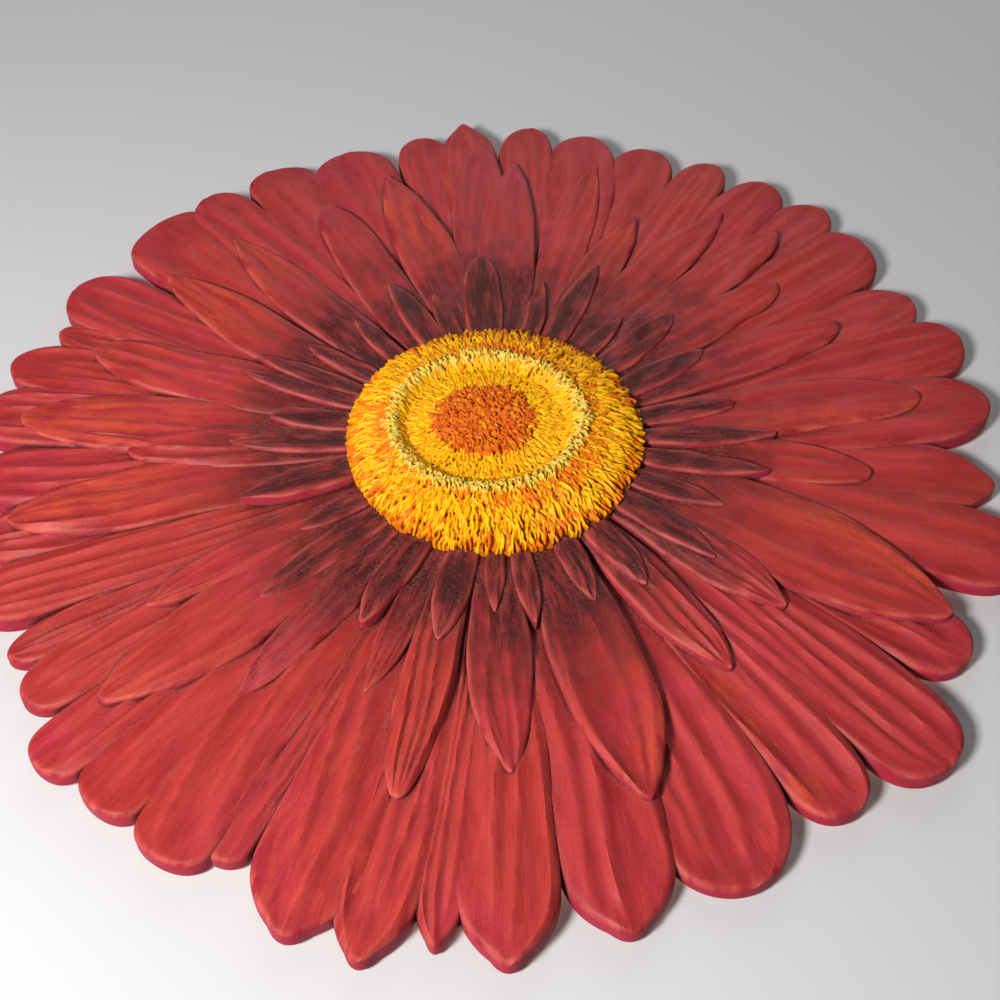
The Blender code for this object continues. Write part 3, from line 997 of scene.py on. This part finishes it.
        radius = np.hypot(points[:, 0], points[:, 1])
        climb = (radius - ROOT_RADIUS) / (PLAQUE_RADIUS - ROOT_RADIUS)
        ridge = self.root_height + (self.rim_height - self.root_height) * climb
        ridge += petal.lift * self.lift_height
        from_edge = np.minimum((1 - np.abs(side)) * half / np.sqrt(1 + slope ** 2), (1 - share) * length)
        rest = np.maximum(self.edge_round - from_edge, 0)
        roll = self.edge_round - np.sqrt(np.maximum(self.edge_round ** 2 - rest ** 2, 0))
        vein = self.veining(manner, side, share)
        bowl = smooth_step(*BOWL_LEFT, side) * (1 - smooth_step(*BOWL_RIGHT, side))
        sink = self.dish * petal.dish * bowl * smooth_step(*BOWL_START, share)
        sink = sink * (1 - smooth_step(*BOWL_END, share))
        lean = self.dish * manner.tilt * side * smooth_step(*LEAN_START, share)
        lumps = np.sin(TURN * (1.6 * share + 0.5 * side + phases[4]))
        lumps = lumps + np.sin(TURN * (3.7 * share - phases[5]))
        lumps = lumps + 0.8 * np.sin(TURN * (0.9 * side + 2.3 * share + phases[6]))
        droop = self.tip_drop * smooth_step(*DROOP_START, share) ** 2
        height = ridge - self.edge_drop * np.abs(side) ** 4 - roll - sink + lean - droop
        height += self.lumps * lumps
        away = math.cos(math.radians(petal.bearing - self.deep_bearing))
        calm = (1 - self.calm_share * (1 - away)) * (1 - 0.35 * min(petal.dish, 1.0))
        height += self.vein_depth * manner.depth * calm * (vein - 0.4)
        floor = self.floor + self.floor_step * index
        tip_wall = share > TIP_WALL
        side_wall = np.abs(side) > SIDE_WALL
        at_tip = tip_wall[:, None]
        at_side = side_wall[:, None] & ~at_tip
        normal = (right * np.sign(side)[:, None] - ways * slope[:, None]) / np.sqrt(1 + slope ** 2)[:, None]
        place = place + np.where(below[:, None], RIM_DRAFT, 0.0) * (normal * at_side + ways * at_tip)
        height = np.where(below, floor, height)
        put_corners(mesh, np.stack([place[:, 0], -height, place[:, 1]], axis=1))

        wall = np.where(below, ridge - floor, 0.0)
        grain_u = self.grain_step * (index + 1) + reach + np.sign(side) * wall * side_wall
        grain_v = share * length + wall * tip_wall + phases[7]
        put_uv(mesh, "grain", np.stack([grain_u, grain_v], axis=1))
        orange, mauve, pink, keep = petal.wash.value
        if keep:
            orange = orange * smooth_step(*ORANGE_SIDE, side * keep)
        orange = orange * smooth_step(*ORANGE_START, share)
        past = radius / PLAQUE_RADIUS - self.scorch_reach * manner.scorch
        scorch = 0.5 - past / self.scorch_fade
        # nearness to the edge: drives the red outline and the paler edge paint, which is partly a painted
        # highlight
        nearness = np.exp(-from_edge / self.edge_reach) * (1 - 0.6 * below)
        blank = np.zeros_like(side)
        put_corner_colour(mesh, "paint", np.stack([
            blank + orange, np.clip(scorch, -1, 2), np.clip(vein, 0, 1), nearness,
        ], axis=1))
        put_corner_colour(mesh, "tint", np.stack([
            blank + mauve * smooth_step(*MAUVE_START, share), blank + pink, blank + phases[8], blank + 1.0,
        ], axis=1))

    def model(self) -> list[Object]:
        """Models every petal of the ring as a closed solid.

        Returns:
            One object for each petal.
        """
        draw = np.random.default_rng(self.seed)
        blank = self.blank()
        parts = []
        for index, petal in enumerate(self.petals):
            mesh = blank.data.copy()
            self.shape(mesh, petal, self.manner(draw), index)
            parts.append(new_part(f"{self.name}_{index}", mesh))
        bpy.data.objects.remove(blank)
        return parts

    def solid(self) -> Object:
        """Models the ring and unites its petals.

        Returns:
            The united ring.
        """
        parts = self.model()
        carve(parts[0], parts[1:], "UNION")
        return parts[0]

    def build(
        self, holes: "WireHoles", paint: Material, clay: Material,
    ) -> Object:
        """Models the ring, drills it and dresses it.

        Args:
            holes: the holes in the back.
            paint: the petals' material.
            clay: the material of the back and of the holes.

        Returns:
            The finished piece.
        """
        piece = self.solid()
        carve(piece, holes.drills(), "DIFFERENCE")
        piece.name = self.name
        piece.data.materials.clear()
        piece.data.materials.append(paint)
        piece.data.materials.append(clay)
        for face in piece.data.polygons:
            flat_back = face.center.y > -self.flush and face.normal.y > 0.99
            face.material_index = int(flat_back or holes.holds(face.center))
        smooth_shade(piece, 40)
        return piece


@dataclass(frozen=True)
class WireHoles:
    """Two blind holes in the back for a hanging wire, in metres.

    Attributes:
        diameter: of each hole.
        depth: of each hole.
        spacing: between the two.
        height: above the plaque's centre.
    """

    diameter: float = 0.0036
    depth: float = 0.0035
    spacing: float = 0.0400
    height: float = 0.0500

    def drills(self) -> list[Object]:
        """Models the two pegs that cut the holes.

        Returns:
            The pegs.
        """
        pegs = []
        for way in (-1, 1):
            deselect_all()
            bpy.ops.mesh.primitive_cylinder_add(
                vertices=32, radius=self.diameter / 2, depth=self.depth * 2,
                location=(way * self.spacing / 2, 0, self.height), rotation=UPRIGHT,
            )
            bpy.ops.object.transform_apply(location=True, rotation=True, scale=True)
            pegs.append(bpy.context.active_object)
        return pegs

    def holds(self, point: Vector) -> bool:
        """Whether a point lies on the wall or the floor of a hole."""
        away = math.hypot(abs(point.x) - self.spacing / 2, point.z - self.height)
        return away < self.diameter * 0.51 and point.y > -self.depth * 1.02


@dataclass
class OuterRing(PetalRing):
    """The outer petals with the slab behind them and the flat back.

    Attributes:
        web_radius: of the slab that closes the gaps between petal roots.
        web_thickness: of that slab.
        back_overrun: how far the slab runs past the back before it is trimmed.
    """

    web_radius: float = 0.1085
    web_thickness: float = 0.0020
    back_overrun: float = 0.0013

    def web(self) -> Object:
        """Models the slab behind the petals.

        Returns:
            The slab.
        """
        deselect_all()
        depth = self.web_thickness + self.back_overrun
        bpy.ops.mesh.primitive_cylinder_add(
            vertices=96, radius=self.web_radius, depth=depth,
            location=(0, self.back_overrun - depth / 2, 0), rotation=UPRIGHT,
        )
        bpy.ops.object.transform_apply(location=True, rotation=True, scale=True)
        return bpy.context.active_object

    def back_block(self) -> Object:
        """Models the block that trims the petals flat at the back.

        Returns:
            The block.
        """
        deselect_all()
        side = PLAQUE_RADIUS * 3
        bpy.ops.mesh.primitive_cube_add(size=side, location=(0, side / 2, 0))
        bpy.ops.object.transform_apply(location=True, rotation=True, scale=True)
        return bpy.context.active_object

    def solid(self) -> Object:
        """Models the ring, unites its petals with the slab and trims the back flat.

        Returns:
            The united ring.
        """
        parts = self.model()
        carve(parts[0], [*parts[1:], self.web()], "UNION")
        carve(parts[0], [self.back_block()], "DIFFERENCE")
        return parts[0]


@dataclass(frozen=True)
class Florets:
    """One band of florets on the disc; distances across it are shares of the disc's radius.

    Attributes:
        inner: where the band starts.
        outer: where it ends.
        length: of a floret, metres.
        width: of a floret, metres.
        spread: how far florets turn from straight out, degrees.
        lift: how far their tips stand off the dome, metres.
        orange: chance that one is orange.
        pale: how pale they are.
        heart: how far they take the heart's burnt orange.
    """

    inner: float
    outer: float
    length: float
    width: float
    spread: float
    lift: float
    orange: float
    pale: float
    heart: float


@dataclass
class FloretDisc:
    """The tufted disc: a dome with a sunken ring and a raised crest, thatched with small florets.

    Attributes:
        name: the piece's name.
        seed: of its random numbers.
        edge_height: top of the rim above the back.
        crown_height: of the middle above the back.
        bands: the florets, from the heart outwards.
        cells: faces along each side of the sheet that the disc is modelled from.
        wall: height of the disc's own wall under its rim.
        off_centre: how far the heart lies to the left of the disc's middle and above it.
        flatness: how much wider than high the heart is.
        row_share: distance between rows over a floret's length.
        gap_share: distance round a row over a floret's width.
        gap_depth: how far the dome lies under the florets' roots.
        bin_size: side of the squares that sort the sheet's points.
        curl: how far a floret sways from side to side, over its width.
        thickness: of a floret's middle over its width.
        sunk: how far a floret lies in the dome, over its width.
        shrink: how far the disc stays inside the solid's, a share of its radius.
        splay: how far florets at the edge lean out, over their rise.
    """

    name: str = "floret_disc"
    seed: int = 11
    edge_height: float = 0.0076
    crown_height: float = 0.0136
    bands: tuple[Florets, ...] = (
        Florets(0.00, 0.345, 0.0025, 0.00094, 75, 0.00095, 0.30, 0.0, 1.0),
        Florets(0.335, 0.60, 0.0034, 0.00084, 12, 0.00060, 0.05, 0.0, 0.0),
        Florets(0.600, 0.665, 0.0027, 0.00086, 30, 0.00120, 0.02, 0.75, 0.0),
        Florets(0.66, 0.81, 0.0030, 0.00084, 16, 0.00060, 0.62, 0.0, 0.0),
        Florets(0.79, 0.92, 0.0052, 0.00098, 12, 0.00100, 0.14, 0.0, 0.0),
        Florets(0.90, 0.970, 0.0044, 0.00105, 11, 0.00085, 0.75, 0.0, 0.0),
    )
    cells: int = 296
    wall: float = 0.0040
    off_centre: tuple[float, float] = (0.0034, 0.0004)
    flatness: float = 0.12
    row_share: float = 0.27
    gap_share: float = 0.95
    gap_depth: float = 0.00035
    bin_size: float = 0.0030
    curl: float = 0.38
    thickness: float = 0.62
    sunk: float = 0.20
    shrink: float = 0.012
    splay: float = 0.40

    def surface(self, share: np.ndarray) -> np.ndarray:
        """Height of the disc above the back at shares of its radius."""
        shares = (0.0, 0.16, 0.28, 0.37, 0.46, 0.54, 0.60, 0.67, 0.76, 0.85, 0.93, 1.00, 1.05)
        rises = (0.92, 0.88, 0.80, 0.68, 0.60, 0.54, 0.82, 0.88, 0.68, 0.46, 0.20, -0.16, -0.50)
        return self.edge_height + (self.crown_height - self.edge_height) * np.interp(share, shares, rises)

    def pattern(self, place: np.ndarray) -> np.ndarray:
        """Share of the radius that the bands follow, which run round a point left of the middle."""
        share = np.hypot(place[:, 0], place[:, 1]) / DISC_RADIUS
        inwards = np.maximum(1 - share ** 2, 0)
        across = place[:, 0] + self.off_centre[0] * inwards
        up = (place[:, 1] - self.off_centre[1] * inwards) * (1 + self.flatness * inwards)
        return np.hypot(across, up) / DISC_RADIUS

    def unpattern(self, bearing: float, radius: float) -> np.ndarray:
        """The front-view point at a bearing on the band of a radius."""
        point = plan(bearing, radius)
        inwards = 1 - (radius / DISC_RADIUS) ** 2
        return np.array((
            point[0] - self.off_centre[0] * inwards,
            point[1] / (1 + self.flatness * inwards) + self.off_centre[1] * inwards,
        ))

    def sheet(self) -> tuple[Object, np.ndarray, np.ndarray]:
        """Models a round sheet with a floor from a square grid whose cells keep their size.

        Returns:
            The sheet, its front-view points and which of them lie on the floor.
        """
        deselect_all()
        bpy.ops.mesh.primitive_grid_add(x_subdivisions=self.cells, y_subdivisions=self.cells, size=2)
        sheet = bpy.context.active_object
        close_below(sheet, 1.0)
        flat = corners(sheet.data)
        across, up = flat[:, 0], flat[:, 1]
        wide = np.abs(across) > np.abs(up)
        radius = np.where(wide, across, up)
        ratio = np.where(wide, up, across) / np.where(radius == 0, 1.0, radius)
        angle = np.where(wide, math.pi / 4 * ratio, math.pi / 2 - math.pi / 4 * ratio)
        place = np.stack([radius * np.cos(angle), radius * np.sin(angle)], axis=1) * DISC_RADIUS
        return sheet, place, flat[:, 2] < -0.5

    def scatter(self, draw: np.random.Generator) -> np.ndarray:
        """Places the florets in rows, each with some scatter.

        Args:
            draw: the disc's random numbers.

        Returns:
            One row for each floret: radius, bearing, length, width, turn, lift, orange, pale,
            heart, chance and the phase and pace of its wave.
        """
        rows = []
        for band in self.bands:
            inner, outer = band.inner * DISC_RADIUS, band.outer * DISC_RADIUS
            count = max(2, round((outer - inner) / (band.length * self.row_share)))
            for radius in np.linspace(inner, outer, count, endpoint=False) + (outer - inner) / count / 2:
                around = max(3, round(TURN * radius / (band.width * self.gap_share)))
                places = np.arange(around) + draw.uniform(0, 1) + draw.uniform(-0.4, 0.4, around)
                bearings = places * 360 / around
                patches = 0.30 * np.sin(np.radians(3 * bearings + 40))
                patches = patches + 0.22 * np.sin(np.radians(7 * bearings))
                orange = draw.uniform(0.5, 1.0, around)
                orange = orange * (draw.uniform(0, 1, around) < band.orange * (1 + patches))
                rows.append(np.stack([
                    radius + draw.normal(0, 0.22, around) * band.length,
                    bearings,
                    band.length * draw.uniform(0.7, 1.3, around),
                    band.width * draw.uniform(0.8, 1.25, around),
                    draw.normal(0, 0.6, around) * band.spread,
                    band.lift * draw.uniform(0.3, 1.5, around),
                    orange, band.pale * draw.uniform(0.6, 1.0, around),
                    band.heart * draw.uniform(0.5, 1.0, around), draw.uniform(0, 1, around),
                    draw.uniform(0, 1, around), draw.uniform(0.6, 1.2, around),
                ], axis=1))
        return np.concatenate(rows)

    def thatch(self, place: np.ndarray) -> tuple[np.ndarray, np.ndarray]:
        """Lays the florets over one another like thatch and keeps the uppermost at every point.

        Args:
            place: front-view points of the disc's top.

        Returns:
            Rise over the dome at every point, and orange, pale, heart, chance and crown there.
        """
        draw = np.random.default_rng(self.seed)
        bins = np.floor(place / self.bin_size).astype(int)
        keys = bins[:, 0] * 1000 + bins[:, 1]
        order = np.argsort(keys, kind="stable")
        groups = np.split(order, np.flatnonzero(np.diff(keys[order])) + 1)
        sorted_points = {int(keys[group[0]]): group for group in groups}
        rise = np.full(len(place), -self.gap_depth)
        coats = np.zeros((len(place), 5))
        for row in self.scatter(draw):
            radius, bearing, length, width, turn, lift, *coat, phase, pace = row
            start = self.unpattern(bearing, radius) - plan(bearing, length * 0.5)
            ahead = plan(bearing + turn, 1.0)
            centre = np.floor((start + ahead * length / 2) / self.bin_size).astype(int)
            around = [
                sorted_points[key]
                for dx in (-1000, 0, 1000) for dy in (-1, 0, 1)
                if (key := int(centre[0]) * 1000 + int(centre[1]) + dx + dy) in sorted_points
            ]
            if not around:
                continue
            near = np.concatenate(around)
            offset = place[near] - start
            along = offset @ ahead / length
            beside = offset @ (ahead[1], -ahead[0])
            beside = beside - self.curl * width * np.sin(TURN * (phase + pace * along))
            taper = np.sin(math.pi * np.clip(0.14 + 0.74 * along, 0, 1)) ** 0.6
            across = np.abs(beside) / (width / 2 * taper + 1e-9)
            on = (along > 0) & (along < 1) & (across < 1)
            near, along, across = near[on], along[on], across[on]
            crown = 1 - across ** 1.6
            climb = np.sin(math.pi / 2 * np.minimum(along / 0.8, 1))
            climb = climb * (1 - 0.4 * smooth_step(0.82, 1.0, along))
            level = lift * climb + self.thickness * width * crown - self.sunk * width
            higher = level > rise[near]
            near = near[higher]
            rise[near] = level[higher]
            coats[near, :4] = coat
            coats[near, 4] = crown[higher]
        return rise, coats

    def build(self, paint: Material) -> Object:
        """Models the disc and dresses it.

        Args:
            paint: the florets' material.

        Returns:
            The finished piece.
        """
        piece, place, below = self.sheet()
        rise, coats = self.thatch(place)
        share = np.hypot(place[:, 0], place[:, 1]) / DISC_RADIUS
        ground = self.surface(self.pattern(place))
        splay = self.splay * rise / DISC_RADIUS * smooth_step(0.85, 1.0, share)
        spread = 1 - self.shrink + np.where(below, 0.0, splay)
        floor = self.edge_height - self.wall
        height = np.where(below, floor, ground + rise)
        front = place * spread[:, None]
        put_corners(piece.data, np.stack([front[:, 0], -height, front[:, 1]], axis=1))
        face_outwards(piece)
        put_uv(piece.data, "grain", place)
        put_corner_colour(piece.data, "floret", coats[:, :4])
        put_corner_colour(piece.data, "tuft", np.repeat(coats[:, 4:], 4, axis=1))
        piece.name = self.name
        piece.data.materials.clear()
        piece.data.materials.append(paint)
        smooth_shade(piece, 60)
        return piece


@dataclass
class Studio:
    """A pale wall behind the plaque, soft light and a camera at the photograph's angle.

    Attributes:
        gap: between the plaque's back and the wall, metres.
        wall_size: side of the wall, metres.
        wall_colour: its paint.
        focal_pixels: the camera's focal length in pixels of a frame 1000 wide.
        frame_pixels: the frame's width.
        sensor: the camera's sensor width, millimetres.
        aim: what it looks at.
        distance: from there to the camera.
        elevation: above the plaque's plane, degrees.
        roll: of the frame, degrees.
        sky_colour: of the light from all round.
        sky_strength: of that light.
        lamps: square soft lights: name, place, side in metres and power in watts.
    """

    gap: float = 0.0015
    wall_size: float = 6.0
    wall_colour: str = "#C6C4C4"
    focal_pixels: float = 1380.0
    frame_pixels: float = 1000.0
    sensor: float = 36.0
    aim: tuple[float, float, float] = (0.00127, 0.0040, -0.01368)
    distance: float = 0.37083
    elevation: float = 51.1
    roll: float = -0.21
    sky_colour: str = "#DADDE2"
    sky_strength: float = 0.24
    lamps: tuple[tuple[str, tuple[float, float, float], float, float], ...] = (
        ("key_light", (-0.29, -0.40, -0.37), 0.12, 4.85),
        ("far_light", (0.1, -0.50, 0.85), 0.8, 2.4),
        ("back_light", (0.0, 1.3, 0.0), 0.2, 14.0),
    )

    def camera(self) -> None:
        """Adds the camera."""
        data = bpy.data.cameras.new("camera")
        data.sensor_width = self.sensor
        data.lens = self.focal_pixels / self.frame_pixels * self.sensor
        camera = bpy.data.objects.new("camera", data)
        bpy.context.scene.collection.objects.link(camera)
        rise = math.radians(self.elevation)
        back = Vector((0, -math.sin(rise), -math.cos(rise)))
        camera.location = Vector(self.aim) + back * self.distance
        turn = (-back).to_track_quat("-Z", "Y").to_matrix()
        camera.rotation_euler = (turn @ Matrix.Rotation(math.radians(self.roll), 3, "Z")).to_euler()
        data.clip_start = 0.01
        bpy.context.scene.camera = camera

    def wall(self) -> Object:
        """Adds the wall, which shows from the front alone so that the back can be seen too.

        Returns:
            The wall.
        """
        deselect_all()
        bpy.ops.mesh.primitive_plane_add(
            size=self.wall_size, location=(0, self.gap, 0), rotation=UPRIGHT,
        )
        wall = bpy.context.active_object
        wall.name = "pale_wall"
        material, tree, shader = new_material("pale_matt_wall")
        shader.inputs["Base Color"].default_value = linear(self.wall_colour)
        shader.inputs["Roughness"].default_value = 0.8
        side = add_node(tree, "ShaderNodeNewGeometry", {}, {}).outputs["Backfacing"]
        clear = add_node(tree, "ShaderNodeBsdfTransparent", {}, {}).outputs[0]
        mixed = add_node(tree, "ShaderNodeMixShader", {}, {0: side, 1: shader.outputs[0], 2: clear})
        tree.links.new(mixed.outputs[0], tree.nodes["Material Output"].inputs["Surface"])
        wall.data.materials.append(material)
        wall.visible_shadow = False
        wall.visible_diffuse = False
        return wall

    def light(self, name: str, place: tuple[float, float, float], size: float, power: float) -> None:
        """Adds a square soft light that faces the plaque.

        Args:
            name: its name.
            place: where it is, metres.
            size: its side, metres.
            power: in watts.
        """
        data = bpy.data.lights.new(name, "AREA")
        data.size = size
        data.energy = power
        lamp = bpy.data.objects.new(name, data)
        bpy.context.scene.collection.objects.link(lamp)
        lamp.location = place
        lamp.rotation_euler = (-Vector(place)).to_track_quat("-Z", "Y").to_euler()

    def build(self) -> None:
        """Adds everything round the plaque."""
        self.camera()
        self.wall()
        world = bpy.data.worlds.new("soft_room")
        world.use_nodes = True
        bpy.context.scene.world = world
        sky = world.node_tree.nodes["Background"]
        sky.inputs["Color"].default_value = linear(self.sky_colour)
        sky.inputs["Strength"].default_value = self.sky_strength
        for lamp in self.lamps:
            self.light(*lamp)
        bpy.context.scene.view_settings.view_transform = "Standard"


def outer_ring() -> OuterRing:
    """The outer petals' sizes."""
    return OuterRing(
        name="outer_petals", petals=OUTER_PETALS, seed=3, root_height=0.0025, rim_height=0.0054,
        lift_height=0.0009, edge_drop=0.0004, widest_at=0.80, root_share=0.35, tip_offset=0.0005,
        floor=-0.0015, floor_step=-0.00002, across=36, along=60, clear_from=0.25, edge_round=0.0013,
        vein_depth=0.00165, vein_count=(3, 5), dish=0.0017, tip_drop=0.0005, scorch_reach=0.47,
    )


def middle_ring() -> PetalRing:
    """The middle petals' sizes."""
    return PetalRing(
        name="middle_petals", petals=MIDDLE_PETALS, seed=5, root_height=0.0048, rim_height=0.0068,
        lift_height=0.0008, edge_drop=0.0003, widest_at=0.56, root_share=0.55, tip_offset=0.0003,
        floor=0.00005, floor_step=0.000004, across=32, along=60, clear_from=0.08, edge_round=0.0010,
        vein_depth=0.00120, vein_count=(3, 4), dish=0.0013, tip_drop=0.0003, scorch_reach=0.50,
    )


def collar_ring() -> PetalRing:
    """The collar petals' sizes."""
    return PetalRing(
        name="collar_petals", petals=COLLAR_PETALS, seed=7, root_height=0.0064, rim_height=0.0080,
        lift_height=0.0005, edge_drop=0.0002, widest_at=0.50, root_share=0.55, tip_offset=-0.0001,
        floor=0.0016, floor_step=0.00004, across=20, along=40, clear_from=0.15, edge_round=0.0006,
        vein_depth=0.00070, vein_count=(2, 3), dish=0.0007, tip_drop=0.0002, scorch_reach=0.62,
    )


def main() -> None:
    """Builds the plaque's pieces in order, then the studio."""
    logging.basicConfig(level=logging.INFO, format="%(name)s: %(message)s")
    Studio().build()
    holes = WireHoles()
    paint = petal_paint().material()
    clay = bare_clay().material()
    rings = (outer_ring(), middle_ring(), collar_ring())
    pieces = [ring.build(holes, paint, clay) for ring in rings]
    pieces.append(FloretDisc().build(floret_paint().material()))
    for piece in pieces:
        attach(piece, BODY)
        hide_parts(NODE)
        piece.data.calc_loop_triangles()
        LOG.info("%s: %d triangles", piece.name, len(piece.data.loop_triangles))


if __name__ == "__main__":
    main()
